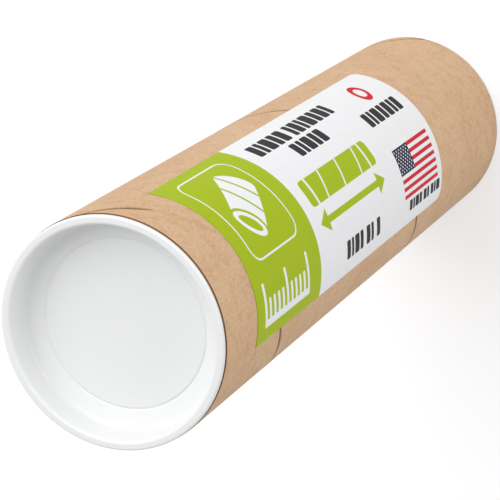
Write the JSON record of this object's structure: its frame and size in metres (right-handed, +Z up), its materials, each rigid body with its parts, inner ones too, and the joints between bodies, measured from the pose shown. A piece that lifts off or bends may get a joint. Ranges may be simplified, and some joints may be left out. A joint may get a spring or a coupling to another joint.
{
  "type": "cardboard mailing tube",
  "caption": "Round spiral-wound kraft board tube for posting rolled sheets, with a recessed plastic plug in each end and a paper label.",
  "frame": {"origin": "centre of the bottom plug's outer face, which the tube stands on", "axes": "+Z up along the tube's axis to the top plug, -Y towards the middle of the label, +X to the right as seen from the label's side"},
  "size_m": [0.0802, 0.0805, 0.3088],
  "materials": {
    "kraft_board": "matte kraft paper, slightly calendered",
    "printed_paper": "smooth printed paper",
    "white_plastic": "moulded polyethylene, satin to gloss"
  },
  "bodies": {
    "bottom_cap_body": {"bottom_cap": "white_plastic"},
    "tube_body": {"tube": "kraft_board", "label": "printed_paper"},
    "top_cap_body": {"top_cap": "white_plastic"}
  },
  "joints": [
    {"name": "top_cap_pull", "type": "slide", "parent": "tube_body", "child": "top_cap_body", "axis": [0, 0, 1], "range_m": [0, 0.1]},
    {"name": "bottom_cap_pull", "type": "slide", "parent": "bottom_cap_body", "child": "tube_body", "axis": [0, 0, 1], "range_m": [0, 0.1]}
  ]
}
